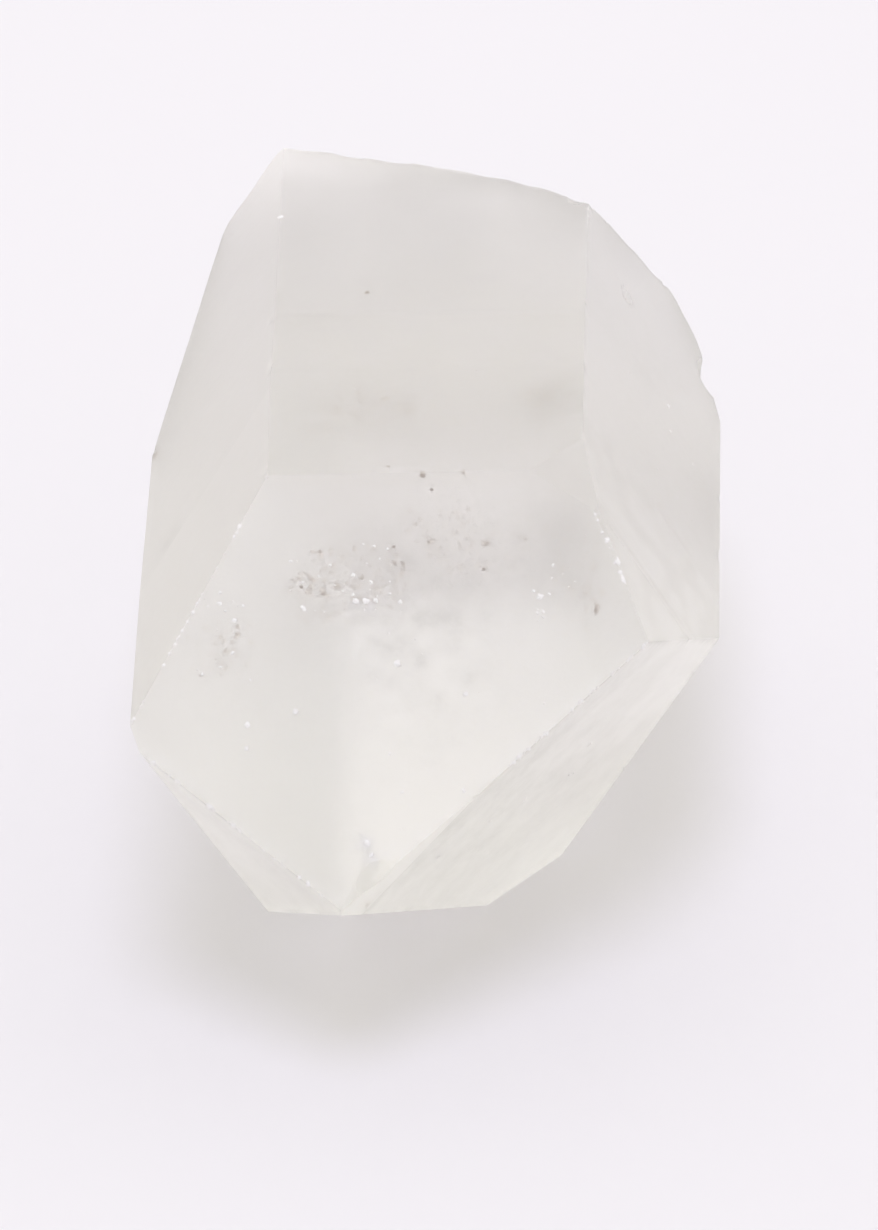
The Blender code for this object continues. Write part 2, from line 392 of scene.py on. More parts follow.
def relief(at, face, clear):
    """Depth of growth marks, in millimetres: fine steps across the prism faces, low hillocks
    everywhere and etching underneath, all fading out beside a crystal edge, plus the ledges:
    each a band with straight ramps on its four sides."""
    prism = np.isin(face, PRISM_FACES)
    under = face == FACE_NAMES.index("m4_underside")
    depth = 0.0
    for deep, size, seed in PRISM_STEPS:
        depth = depth + deep * lumps(at * np.array(STEP_STRETCH), size, seed)
    depth = prism * depth
    for deep, size, seed in HILLOCKS:
        depth = depth + deep * lumps(at, size, seed)
    deep, size, seed = ETCHING
    depth = depth + under * deep * lumps(at, size, seed)
    depth = (depth - depth.min()) * clear
    for name, start, end, deep, lean, (left, right) in LEDGES:
        i = FACE_NAMES.index(name)
        flat = np.cross(NORMALS[i], (0.0, -1.0, 0.0))
        flat /= np.linalg.norm(flat)
        lean = math.radians(lean)
        side = math.cos(lean) * flat + math.sin(lean) * np.cross(NORMALS[i], flat)
        ahead = np.cross(side, NORMALS[i])
        u, v = at @ ahead, at @ side / LEDGE_HALF_WIDTH
        band = np.clip((u - start) / LEDGE_RAMP + 0.5, 0, 1)
        band = band * np.clip((end - u) / LEDGE_RAMP + 0.5, 0, 1)
        band = band * np.clip((v - left) * LEDGE_ENDS, 0, 1)
        band = band * np.clip((right - v) * LEDGE_ENDS, 0, 1)
        depth = depth + deep * band * (np.abs(outside(i, at)) < ON_FACE)
    return depth


at, triangles = without_slivers(*crystal_surface())
middles = at[triangles].mean(axis=1)
face = np.stack([outside(i, middles) for i in range(BOUNDARIES)]).argmax(axis=0)
own_face = np.zeros(len(at), dtype=int)
own_face[triangles.ravel()] = np.repeat(face, 3)
gaps = np.sort(np.stack([np.abs(outside(i, at)) for i in range(BOUNDARIES)]), axis=0)[1]
clear = np.clip(gaps / MARKS_FADE, 0, 1) * (own_face < BROKEN)
inward = MIDDLE - at
inward /= np.linalg.norm(inward, axis=1)[:, None]
sunk = at + inward * relief(at, own_face, clear)[:, None]

mesh = bpy.data.meshes.new("quartz_crystal")
mesh.from_pydata(((sunk + AXIS_AT) * MM).tolist(), [], triangles.tolist())
mesh.polygons.foreach_set("use_smooth", np.ones(len(triangles), dtype=bool))
# A mesh edge is sharp where the triangles on its two sides belong to different faces.
sides = np.concatenate([triangles[:, [0, 1]], triangles[:, [1, 2]], triangles[:, [2, 0]]])
key = sides.min(axis=1) * len(at) + sides.max(axis=1)
order = np.argsort(key, kind="stable")
pairs = np.tile(face, 3)[order].reshape(-1, 2)
bent = key[order][::2][pairs[:, 0] != pairs[:, 1]]
ends = np.zeros(2 * len(mesh.edges), dtype=np.int64)
mesh.edges.foreach_get("vertices", ends)
ends = ends.reshape(-1, 2)
sharp = np.isin(ends.min(axis=1) * len(at) + ends.max(axis=1), bent)
mesh.attributes.new("sharp_edge", "BOOLEAN", "EDGE").data.foreach_set("value", sharp)

# Frost is the roughness of each face, uneven by a twentieth, rougher toward the back of the
# underside and where an edge has been worn: share, size and seed of its lumps, then limits.
FROST_LUMPS = ((0.05, 3.1, 21), (0.03, 1.2, 22))
FROST_LIMITS = (0.29, 0.95)
UNDERSIDE_FROST, UNDERSIDE_FROM, UNDERSIDE_OVER = 0.1, -2, 12
WEAR_WIDTH = 0.22
WEAR_FROST = 0.3
# Stain and painted shade, from 0 to 1, darken the crystal's tint. On the broken base between its
# top edge and the undercut they are partly a film of clay and iron, partly painted shade: a
# little more above its middle, which is painted shade, and half as much below. In patches in the
# hackles it is a film of clay and iron. The top, the upper right side and the tip's big faces
# are darkened thinly; they are those that lean up and to the right by more than these least
# values.
SCOOP_STAIN_AND_SHADE, SCOOP_SHADE_RISE, SCOOP_STAIN_LUMPS = 0.27, 0.13, 0.1
SCOOP_TOP, SCOOP_TOP_EASE, UNDERCUT_EASE = 11, 3, 1.5
RISE_FROM, RISE_OVER = -2, 6
HACKLE_STAIN = 0.7
FACE_DIMMING, FACE_DIMMING_LUMPS = 0.02, 0.014
LEAST_UP, LEAST_RIGHT = -0.45, -0.7
# Patches that dull a face, partly painted shade and partly a mottled stain: face, middle on it
# (right, back, up), radius and strength. A patch wider than this radius is the more even one.
MOTTLED_RADIUS = 3.5
PATCHES = (
    ("r1_top", (-3.6, -7.6, 8.1), 2.8, 0.10),
    ("r1_top", (3.5, -7.1, 8.5), 2.4, 0.07),
    ("r1_top", (6.6, -8.0, 7.7), 1.5, 0.07),
    ("r1_top", (-10.8, -10.2, 6.0), 2.0, 0.09),
    ("r1_top", (-0.5, -5.6, 9.6), 3.0, 0.04),
    ("m1_top", (-5.4, 0.9, 11.5), 1.5, 0.08),
    ("top_front_half", (-5.4, 0.9, 11.5), 1.5, 0.08),
    ("top_front_half", (-1.2, 3.3, 11.5), 1.5, 0.07),
    ("top_front_half", (6.3, 2.5, 11.4), 1.2, 0.10),
    ("top_front_half", (-6.5, 8.0, 11.4), 2.5, 0.03),
    ("m6_upper_right", (10.9, 12.0, 6.5), 1.8, 0.05),
    # Painted shade over the middle of the tip's top face.
    ("r1_top", (-0.5, -9.6, 6.5), 3.2, 0.25),
    ("r1_top", (0.0, -12.5, 4.2), 3.5, 0.15),
    # Painted shade over the upper right side and the tip's lower right face.
    ("m6_upper_right", (11.0, 4.0, 6.5), 9.0, 0.03),
    ("r5_lower_right", (4.5, -12.5, -3.2), 9.0, 0.34),
    ("r3_lower_left", (-7.0, -16.0, -3.0), 5.0, 0.05),
    ("m2_upper_left", (-13.2, -0.9, 5.5), 0.9, 0.10),
)
# Darker band beside an edge: face, the face across the edge, width, fading width and strength.
EDGE_BANDS = (
    ("r5_lower_right", "r1_top", 2.8, 0.4, 0.11),
    ("r3_lower_left", "r1_top", 3.2, 1.6, 0.16),
    ("r1_top", "right_bevel", 1.5, 0.3, 0.07),
)
corner = triangles.ravel()
here = np.repeat(face, 3)
spot = at[corner]
frost = np.array([row[3] for row in FACES.values()] + [BASE_FROST] + [CHIP_FROST] * len(CHIPS))
right, back, up = spot.T
frost = frost[here]
for share, size, seed in FROST_LUMPS:
    frost = frost + share * lumps(spot, size, seed)
under = here == FACE_NAMES.index("m4_underside")
behind = np.clip((back - UNDERSIDE_FROM) / UNDERSIDE_OVER, 0, 1)
frost = frost + under * behind * UNDERSIDE_FROST
worn = np.clip(1 - gaps[corner] / WEAR_WIDTH, 0, 1) * np.clip(0.5 + lumps(spot, 1.1, 23), 0, 1)
frost = np.clip(frost + WEAR_FROST * worn, *FROST_LIMITS)
broken = here == BROKEN
hollow = np.clip((SCOOP_TOP - up) / SCOOP_TOP_EASE, 0, 1)
hollow = hollow * np.clip((up - UNDERCUT_TOP) / UNDERCUT_EASE, 0.5, 1)
# The rise toward the top of the base is painted shade.
stain = SCOOP_STAIN_AND_SHADE + SCOOP_SHADE_RISE * np.clip((up - RISE_FROM) / RISE_OVER, 0, 1)
stain = stain + SCOOP_STAIN_LUMPS * lumps(spot, 2.6, 25)
stain = broken * hollow * stain
patchy = np.clip(lumps(spot * (1.0, 0.5, 1.0), 1.9, 24) * 2.2 + 0.1, 0, 1)
stain = np.clip(stain + broken * HACKLE_STAIN * hackled(right, up) * patchy, 0, 1)
dimmed_faces = (NORMALS[:, 2] > LEAST_UP) & (NORMALS[:, 0] > LEAST_RIGHT)
seen = np.append(dimmed_faces, np.zeros(1 + len(CHIPS), dtype=bool))[here]
stain = stain + seen * (FACE_DIMMING + FACE_DIMMING_LUMPS * lumps(spot, 1.4, 26))
for name, centre, radius, strength in PATCHES:
    near = np.exp(-(((spot - centre) / radius) ** 2).sum(axis=1))
    near = near * (here == FACE_NAMES.index(name))
    mottle = 0.9 * min(1.0, (MOTTLED_RADIUS / radius) ** 2)
    stain = stain + strength * near * np.clip(0.7 + mottle * lumps(spot, 0.8, 27), 0, 2)
for name, neighbour, width, fade, strength in EDGE_BANDS:
    beside = np.clip((width + outside(FACE_NAMES.index(neighbour), spot)) / fade, 0, 1)
    stain = stain + strength * beside * (here == FACE_NAMES.index(name))
stain = np.clip(stain, 0, 1)
for name, values in (("frost", frost), ("stain", stain)):
    attribute = mesh.attributes.new(name, "FLOAT", "CORNER")
    attribute.data.foreach_set("value", values.astype(np.float32))
mesh.update()

crystal = bpy.data.objects.new("quartz_crystal", mesh)
bpy.context.scene.collection.objects.link(crystal)
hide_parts("quartz_point")
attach(crystal, "root")


def linear(colour):
    """Hex sRGB to linear: a straight line up to 0.04045, above it a power of 2.4."""
    parts = [int(colour[i : i + 2], 16) / 255 for i in (1, 3, 5)]
    parts = [c / 12.92 if c <= 0.04045 else ((c + 0.055) / 1.055) ** 2.4 for c in parts]
    return (*parts, 1.0)


def bare_tree(owner):
    """The node tree of a material or of the room, emptied."""
    owner.use_nodes = True
    owner.node_tree.nodes.clear()
    return owner.node_tree


def add(tree, kind, settings, links=()):
    """Add one node: its properties and sockets by name or number, then what feeds it."""
    made = tree.nodes.new("ShaderNode" + kind)
    for name, value in settings.items():
        if isinstance(name, str) and hasattr(made, name):
            setattr(made, name, value)
        else:
            made.inputs[name].default_value = value
    for name, source in dict(links).items():
        tree.links.new(source, made.inputs[name])
    return made


# Rock crystal, grown free: water-clear, refracting as quartz does (1.544), and a trace smoky.
# Growth and wear leave its faces satiny, so what lies inside shows softly. Growth lines across
# the prism are 0.2 to 0.5 mm apart and drawn at 0.35 mm; etch pits and the specks of the stain
# and painted shade are 0.3 mm grains, and the roughness wanders over 1.4 mm. A noise whose scale
# is
# 0.5 over a length has marks about that length across.
CLEAR = "#fffefb"
# Tint of the stain and of the painted shade.
STAIN_AND_SHADE_TINT = "#a7a5a0"
SMOKY = "#daceaa"
LINE_SPACING = 0.35 * MM
GRAIN = 0.3 * MM
CLOUD = 1.4 * MM
quartz = bpy.data.materials.new("rock_crystal_natural_faces")
tree = bare_tree(quartz)
place = add(tree, "TexCoord", {}).outputs["Object"]
frosted = add(tree, "Attribute", {"attribute_name": "frost"}).outputs["Fac"]
stained_and_shaded = add(tree, "Attribute", {"attribute_name": "stain"}).outputs["Fac"]
stretched = add(tree, "Mapping", {"Scale": STEP_STRETCH}, {"Vector": place}).outputs["Vector"]
wavering = {"Scale": 0.5 / LINE_SPACING, "Detail": 3.0, "Roughness": 0.6}
lines = add(tree, "TexNoise", wavering, {"Vector": stretched}).outputs["Fac"]
sugary = {"Scale": 0.5 / GRAIN, "Detail": 4.0, "Roughness": 0.65}
grain = add(tree, "TexNoise", sugary, {"Vector": place}).outputs["Fac"]
cloudy = {"Scale": 0.5 / CLOUD, "Detail": 5.0, "Roughness": 0.6}
cloud = add(tree, "TexNoise", cloudy, {"Vector": place}).outputs["Fac"]
span = {"From Min": 0.3, "From Max": 0.7, "To Min": 0.0, "To Max": 0.10}
uneven = add(tree, "MapRange", span, {"Value": cloud}).outputs["Result"]
plus = {"operation": "ADD", "use_clamp": True}
rough = add(tree, "Math", plus, {0: frosted, 1: uneven}).outputs[0]
span = {"From Min": 0.38, "From Max": 0.62, "To Min": 0.75, "To Max": 1.15}
flecks = add(tree, "MapRange", span, {"Value": grain}).outputs["Result"]
times = {"operation": "MULTIPLY", "use_clamp": True}
# The stain and painted shade, broken into specks, turn the tint from clear toward their own.
film = add(tree, "Math", times, {0: stained_and_shaded, 1: flecks}).outputs[0]
tints = {"data_type": "RGBA", 6: linear(CLEAR), 7: linear(STAIN_AND_SHADE_TINT)}
tint = add(tree, "Mix", tints, {0: film}).outputs[2]
pits = {"Strength": 0.25, "Distance": 0.03 * MM}
etched = add(tree, "Bump", pits, {"Height": grain}).outputs["Normal"]
steps = {"Strength": 0.03, "Distance": 0.02 * MM}
grown = add(tree, "Bump", steps, {"Height": lines, "Normal": etched}).outputs["Normal"]
glassy = {"IOR": 1.544, "Transmission Weight": 1.0}
varied = {"Base Color": tint, "Roughness": rough, "Normal": grown}
shader = add(tree, "BsdfPrincipled", glassy, varied)
inside = add(tree, "VolumeAbsorption", {"Color": linear(SMOKY), "Density": 1.0})
add(tree, "OutputMaterial", {}, {"Surface": shader.outputs[0], "Volume": inside.outputs[0]})
mesh.materials.append(quartz)

# ---- Healed cracks inside ------------------------------------------------------------------
# Sheets of tiny flat bubbles a millimetre or so under the faces. They were left when cracks in
# the growing crystal healed, so they are gas held in quartz, and nothing fixes them.

RINGS, SEGMENTS = 5, 8
ASKEW = (0.31, 0.17, 0.93)  # a direction that nothing here faces


def lenses(middle, normal, radius, flatness):
    """Closed little lenses: on each, latitude and longitude run over a ball, squeezed along
    the lens's normal by its flatness. Points are poles first, then ring by ring."""
    middle, normal = np.atleast_2d(middle), np.atleast_2d(normal)
    normal = normal / np.linalg.norm(normal, axis=1)[:, None]
    aside = np.cross(normal, ASKEW)
    aside /= np.linalg.norm(aside, axis=1)[:, None]
    along = np.cross(normal, aside)
    tilt = np.linspace(0, math.pi, RINGS + 2)[1:-1, None]
    turn = np.arange(SEGMENTS)[None, :] * 2 * math.pi / SEGMENTS
    level = np.sin(tilt)
    ball = [level * np.cos(turn), level * np.sin(turn), np.cos(tilt) + 0 * turn]
    ball = np.stack(ball, axis=-1)
    ball = np.concatenate([[[0, 0, 1]], [[0, 0, -1]], ball.reshape(-1, 3)])
    radius = np.broadcast_to(radius, len(middle))[:, None, None]
    thick = radius * np.broadcast_to(flatness, len(middle))[:, None, None]
    points = middle[:, None] + radius * (
        ball[None, :, :1] * aside[:, None] + ball[None, :, 1:2] * along[:, None]
    ) + thick * ball[None, :, 2:] * normal[:, None]
    i = np.arange(SEGMENTS)
    j = (i + 1) % SEGMENTS
    ring = 2 + np.arange(RINGS)[:, None] * SEGMENTS
    last = 2 + (RINGS - 1) * SEGMENTS
    parts = [np.stack([0 * i, 2 + i, 2 + j], axis=1)]
    parts.append(np.stack([0 * i + 1, last + j, last + i], axis=1))
    upper, lower = ring[:-1], ring[1:]
    parts.append(np.stack([upper + i, lower + i, lower + j], axis=-1).reshape(-1, 3))
    parts.append(np.stack([upper + i, lower + j, upper + j], axis=-1).reshape(-1, 3))
    faces = np.concatenate(parts)
    faces = faces[None] + np.arange(len(middle))[:, None, None] * len(ball)
    return points.reshape(-1, 3), faces.reshape(-1, 3)


def put_inside(name, points, faces, material):
    """Make one piece that the crystal holds, from millimetres about its centre line. It rides
    on the crystal's body."""
    shape = bpy.data.meshes.new(name)
    shape.from_pydata(((points + AXIS_AT) * MM).tolist(), [], faces.tolist())
    shape.polygons.foreach_set("use_smooth", np.ones(len(faces), dtype=bool))
    shape.materials.append(material)
    shape.update()
    piece = bpy.data.objects.new(name, shape)
    bpy.context.scene.collection.objects.link(piece)
    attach(piece, "root")
    return piece


COVER = 0.22  # least quartz over a bubble


def under_face(name, middle, u, v, depth):
    """Points under a face: from a middle on it, u across and v toward the tip, then down by
    the depth; the ones that come out of the crystal are dropped."""
    out = NORMALS[FACE_NAMES.index(name)]
    across = np.cross(out, (0.0, -1.0, 0.0))
    across /= np.linalg.norm(across)
    along = np.cross(across, out)
    points = np.array(middle) + np.outer(u, across) + np.outer(v, along) - np.outer(depth, out)
    kept = np.stack([outside(i, points) for i in range(BOUNDARIES)]).max(axis=0) < -COVER
    return points[kept], out


# Each sheet: face it lies under, middle on that face (right, back, up), half-widths across and
# along the face, depth under it, how far it dips over its length, bubbles, and mean radius.
VEILS = (
    ("r1_top", (-4.1, -7.7, 8.0), 2.9, 1.9, 0.7, 0.5, 260, 0.07),
    ("r1_top", (1.4, -5.9, 9.4), 3.6, 1.5, 1.2, 0.6, 150, 0.07),
    ("r1_top", (7.1, -7.6, 8.0), 1.5, 2.9, 0.6, -0.3, 130, 0.055),
    ("r1_top", (-10.3, -10.0, 6.2), 1.6, 1.5, 0.6, 0.3, 80, 0.055),
    ("top_front_half", (-3.3, 2.2, 11.4), 3.6, 1.9, 0.9, 0.5, 170, 0.07),
    ("top_front_half", (5.6, 3.4, 11.4), 1.3, 2.2, 0.8, -0.3, 90, 0.06),
)
# Bubbles gather in clumps and thin out toward a sheet's rim: of so many times the places that
# it needs, the most crowded are taken.
SPARE_PLACES = 4
SHEET_BOW, SHEET_ROUGHNESS = 0.25, 0.05
BUBBLE_LEAN, BUBBLE_SPREAD, BUBBLE_FLATNESS = 0.55, 0.45, 0.35
rng = np.random.default_rng(19)
points, normals, sizes = [], [], []
for name, middle, half_across, half_along, depth, dip, count, size in VEILS:
    u, v = rng.uniform(-1, 1, (2, count * SPARE_PLACES))
    flat = np.stack([u * half_across, v * half_along, 0 * u], axis=-1)
    crowd = 0.6 * lumps(flat, 1.1, depth * 10) + 0.4 * lumps(flat, 0.45, 31)
    crowd = crowd - 0.7 * (u**2 + v**2)
    chosen = np.argsort(-crowd - 0.7 * rng.standard_normal(len(u)), kind="stable")[:count]
    u, v = u[chosen], v[chosen]
    sheet = depth + dip * v + SHEET_BOW * u**2 + SHEET_ROUGHNESS * rng.standard_normal(count)
    kept, out = under_face(name, middle, u * half_across, v * half_along, sheet)
    points.append(kept)
    normals.append(out + BUBBLE_LEAN * rng.standard_normal(kept.shape))
    sizes.append(size * np.exp(BUBBLE_SPREAD * rng.standard_normal(len(kept))))
points, normals, sizes = (np.concatenate(made) for made in (points, normals, sizes))
points, faces = lenses(points, normals, sizes, BUBBLE_FLATNESS)

# Gas in quartz: a flat bubble mirrors light that meets it aslant and dims what passes through
# its curved rim, so each one is a spark or a grey dot. Its skin is faintly etched, in marks
# 0.6 mm across. The index, 1.4, is matched to how strongly such bubbles show.
GAS_TINT = "#efeae4"
SKIN_MARKS = 0.6 * MM
bubble = bpy.data.materials.new("gas_bubbles_in_quartz")
tree = bare_tree(bubble)
place = add(tree, "TexCoord", {}).outputs["Object"]
marked = {"Scale": 0.5 / SKIN_MARKS, "Detail": 2.0}
mottle = add(tree, "TexNoise", marked, {"Vector": place}).outputs["Fac"]
span = {"From Min": 0.35, "From Max": 0.65, "To Min": 0.02, "To Max": 0.2}
skin = add(tree, "MapRange", span, {"Value": mottle}).outputs["Result"]
gas = {"Base Color": linear(GAS_TINT), "IOR": 1.4, "Transmission Weight": 1.0}
shader = add(tree, "BsdfPrincipled", gas, {"Roughness": skin})
add(tree, "OutputMaterial", {}, {"Surface": shader.outputs[0]})
put_inside("healed_cracks", points, faces, bubble)

# ---- Open cracks inside --------------------------------------------------------------------
# Single thin cracks opened by knocks, each a feather-edged flake a few hundredths of a
# millimetre thick and less than a millimetre wide. They are held in the quartz around them.

FLAKE_RINGS = np.array([0.3, 0.55, 0.75, 0.9, 1.0])[:, None]
SPOKES = 16


def flakes(middle, normal, radius, flatness, seed):
    """Closed thin flakes: over a disc whose outline wanders by a third, the half-thickness is
    flatness times (1 - r^2)^2, so the rim is a feather edge. The two sides share the rim.
    The third answer is r itself, 0 in the middle and 1 at the rim."""
    points, faces = [], []
    i = np.arange(SPOKES)
    j = (i + 1) % SPOKES
    turn = i[None, :] * 2 * math.pi / SPOKES
    inner = len(FLAKE_RINGS) - 1  # rings inside the rim
    side = SPOKES * len(FLAKE_RINGS)
    for k in range(len(middle)):
        out = normal[k] / np.linalg.norm(normal[k])
        aside = np.cross(out, ASKEW)
        aside /= np.linalg.norm(aside)
        along = np.cross(out, aside)
        round_trip = np.stack([np.cos(turn), np.sin(turn), 0 * turn + seed + k], axis=-1)
        wander = 1 + 0.45 * lumps(round_trip, 0.8, 51) + 0.25 * lumps(round_trip, 0.35, 52)
        flat = (radius[k] * FLAKE_RINGS * wander)[..., None]
        disc = flat * (np.cos(turn)[..., None] * aside + np.sin(turn)[..., None] * along)
        rise = flatness[k] * radius[k] * (1 - FLAKE_RINGS[:, :, None] ** 2) ** 2 * out
        top = flatness[k] * radius[k] * out
        near, far = (disc + rise).reshape(-1, 3), (disc - rise)[:inner].reshape(-1, 3)
        points.append(middle[k] + np.concatenate([[top], [-top], near, far]))
        ring = 2 + np.arange(inner)[:, None] * SPOKES
        next_ring = ring + SPOKES
        upper = [np.stack([0 * i, 2 + i, 2 + j], 1)]
        upper.append(np.stack([ring + i, next_ring + i, next_ring + j], -1).reshape(-1, 3))
        upper.append(np.stack([ring + i, next_ring + j, ring + j], -1).reshape(-1, 3))
        upper = np.concatenate(upper)
        under = upper[:, ::-1].copy()
        off_rim = (under >= 2) & (under < 2 + inner * SPOKES)
        under = np.where(under == 0, 1, np.where(off_rim, under + side, under))
        faces.append(np.concatenate([upper, under]) + k * (2 + side + inner * SPOKES))
    ring_at = np.repeat(FLAKE_RINGS[:, 0], SPOKES)
    rim = np.concatenate([[0.0, 0.0], ring_at, ring_at[: inner * SPOKES]])
    return np.concatenate(points), np.concatenate(faces), np.tile(rim, len(middle))


# Each flake: middle (right, back, up), way it faces, radius, thickness over radius.
UNDER_R1, UNDER_R5 = (0.0, -0.55, 0.83), (0.24, -0.73, 0.64)
FLAKES = (
    ((-3.60, -8.30, 6.95), UNDER_R1, 0.30, 0.04),
    ((-2.95, -8.35, 6.90), UNDER_R1, 0.30, 0.04),
    ((6.40, -8.00, -3.70), UNDER_R5, 0.28, 0.05),
    ((0.20, -15.10, -3.05), UNDER_R5, 0.30, 0.04),
    ((-3.20, -17.10, -0.90), UNDER_R1, 0.45, 0.04),
    ((-2.90, -17.80, -1.30), UNDER_R1, 0.34, 0.04),
)
middle, normal, radius, flatness = (np.array(column) for column in zip(*FLAKES))
points, faces, rim = flakes(middle, normal, radius, flatness, 3)

# Gas film in a crack: silvery where it faces the lamp and clear elsewhere, dulling toward the
# rim, where the crack closes. The flakes are flat-sided, because a crack cleaves in steps, and
# rippled every 0.25 mm. The index, 1.8, is matched to how brightly such films show.
RIPPLES = 0.25 * MM
film = bpy.data.materials.new("gas_film_in_crack")
tree = bare_tree(film)
place = add(tree, "TexCoord", {}).outputs["Object"]
rippled = {"Scale": 0.5 / RIPPLES, "Detail": 3.0}
ripple = add(tree, "TexNoise", rippled, {"Vector": place}).outputs["Fac"]
low = {"Strength": 0.4, "Distance": 0.02 * MM}
wavy = add(tree, "Bump", low, {"Height": ripple}).outputs["Normal"]
out_from = add(tree, "Attribute", {"attribute_name": "rim"}).outputs["Fac"]
span = {"From Min": 0.0, "From Max": 1.0, "To Min": 0.15, "To Max": 0.4}
dull = add(tree, "MapRange", span, {"Value": out_from}).outputs["Result"]
gas = {"Base Color": linear("#ffffff"), "IOR": 1.8, "Transmission Weight": 1.0}
shader = add(tree, "BsdfPrincipled", gas, {"Normal": wavy, "Roughness": dull})
add(tree, "OutputMaterial", {}, {"Surface": shader.outputs[0]})
cracks = put_inside("open_cracks", points, faces, film)
cracks.data.polygons.foreach_set("use_smooth", np.zeros(len(faces), dtype=bool))
attribute = cracks.data.attributes.new("rim", "FLOAT", "POINT")
attribute.data.foreach_set("value", rim.astype(np.float32))

# ---- Painted glints on the faces and edges -------------------------------------------------
# Small white specks, one to four tenths of a millimetre across: painted glints on the faces and
# painted highlights along the edges. They are the crystal's own skin, with their middles 0.02 mm
# into it.

# Single painted glints: face, right, back and radius. Scattered ones: face, middle (right,
# back), half-widths, how many. Painted highlights along edges: the two faces that meet there,
# and how many.
GLINT_SPOTS = (
    ("r1_top", 5.36, -8.32, 0.17),
    ("r1_top", 5.50, -9.10, 0.09),
    ("r1_top", -1.55, -10.94, 0.17),
    ("r1_top", 1.72, -12.12, 0.13),
    ("r1_top", -8.89, -13.31, 0.15),
    ("r1_top", -8.88, -14.25, 0.13),
    ("r1_top", -6.51, -12.81, 0.15),
    ("r1_top", -10.26, -8.51, 0.12),
    ("r1_top", -9.52, -9.18, 0.12),
    ("r1_top", -3.67, -8.41, 0.15),
    ("r1_top", -3.13, -8.45, 0.16),
    ("r1_top", -2.64, -8.42, 0.12),
    ("r1_top", -3.02, -17.93, 0.17),
    ("r1_top", -2.77, -18.40, 0.13),
    ("r5_lower_right", 0.28, -15.45, 0.20),
    ("r5_lower_right", 2.77, -12.87, 0.15),
    ("r5_lower_right", 4.44, -10.95, 0.18),
    ("r5_lower_right", 6.61, -8.22, 0.16),
    ("r5_lower_right", 7.64, -8.41, 0.18),
    ("m6_upper_right", 11.60, 9.00, 0.12),
    ("m6_upper_right", 11.00, 4.50, 0.10),
)
SCATTERED = (
    ("r1_top", -4.0, -7.7, 2.9, 1.5, 34),
    ("r1_top", -10.2, -9.8, 1.6, 1.8, 14),
    ("r1_top", 6.4, -7.6, 1.4, 1.9, 14),
    ("r1_top", 0.0, -13.0, 6.0, 5.0, 16),
    ("r5_lower_right", 4.5, -11.5, 5.0, 4.0, 14),
    ("top_front_half", 0.0, 3.0, 6.0, 4.0, 12),
    ("m6_upper_right", 11.0, 8.0, 1.8, 8.0, 10),
)
GLINT_EDGES = (
    ("r1_top", "top_front_edge", 60),
    ("r1_top", "left_front_band", 44),
    ("r1_top", "right_bevel", 40),
    ("r1_top", "r5_lower_right", 44),
    ("r1_top", "r3_lower_left", 24),
    ("right_bevel", "right_front_band", 24),
    ("m1_top", "m6_upper_right", 20),
    ("m1_top", "m2_upper_left", 20),
)
GLINT_DEPTH, GLINT_BULGE, GLINT_LEAN = 0.02, 0.3, 0.15
# Mean radius of the scattered ones and of those on edges, and how much each varies.
SCATTERED_SIZE, SCATTERED_SPREAD = 0.055, 0.4
EDGE_GLINT_SIZE, EDGE_GLINT_SPREAD = 0.08, 0.35
# Glints along an edge are tried along this length each way and kept where the edge is real.
EDGE_REACH, EDGE_TRIES, EDGE_MARGIN = 32, 6, 0.05
GLINTS_FROM, GLINTS_TO = -20.2, 19
rng = np.random.default_rng(23)
name, right, back, size = (list(column) for column in zip(*GLINT_SPOTS))
for face_name, mid_right, mid_back, half_right, half_back, count in SCATTERED:
    name += [face_name] * count
    right += list(mid_right + half_right * rng.uniform(-1, 1, count))
    back += list(mid_back + half_back * rng.uniform(-1, 1, count))
    size += list(SCATTERED_SIZE * np.exp(SCATTERED_SPREAD * rng.standard_normal(count)))
plane = [FACE_NAMES.index(one) for one in name]
normal, right, back = NORMALS[plane], np.array(right), np.array(back)
up = (DISTANCES[plane] - normal[:, 0] * right - normal[:, 1] * back) / normal[:, 2]
middle, size = np.stack([right, back, up], axis=1), np.array(size)
for one, other, count in GLINT_EDGES:
    pair = [FACE_NAMES.index(one), FACE_NAMES.index(other)]
    along = np.cross(*NORMALS[pair])
    start = np.linalg.lstsq(NORMALS[pair], DISTANCES[pair], rcond=None)[0]
    reach = rng.uniform(-EDGE_REACH, EDGE_REACH, count * EDGE_TRIES)
    line = start + np.outer(reach, along / np.linalg.norm(along))
    others = [i for i in range(BOUNDARIES) if i not in pair]
    real = np.stack([outside(i, line) for i in others]).max(axis=0) < -EDGE_MARGIN
    line = line[real][:count]
    middle = np.concatenate([middle, line])
    normal = np.concatenate([normal, np.tile(NORMALS[pair].mean(axis=0), (len(line), 1))])
    edge_glint_sizes = EDGE_GLINT_SIZE * np.exp(EDGE_GLINT_SPREAD * rng.standard_normal(len(line)))
    size = np.concatenate([size, edge_glint_sizes])
normal = normal / np.linalg.norm(normal, axis=1)[:, None]
middle = middle - GLINT_DEPTH * normal
inner = np.stack([outside(i, middle) for i in range(BOUNDARIES)]).max(axis=0)
kept = (inner < 0) & (middle[:, 1] > GLINTS_FROM) & (middle[:, 1] < GLINTS_TO)
normal = normal + GLINT_LEAN * rng.standard_normal(normal.shape)
bulge = np.full(kept.sum(), GLINT_BULGE)
points, faces, _ = flakes(middle[kept], normal[kept], size[kept], bulge, 7)

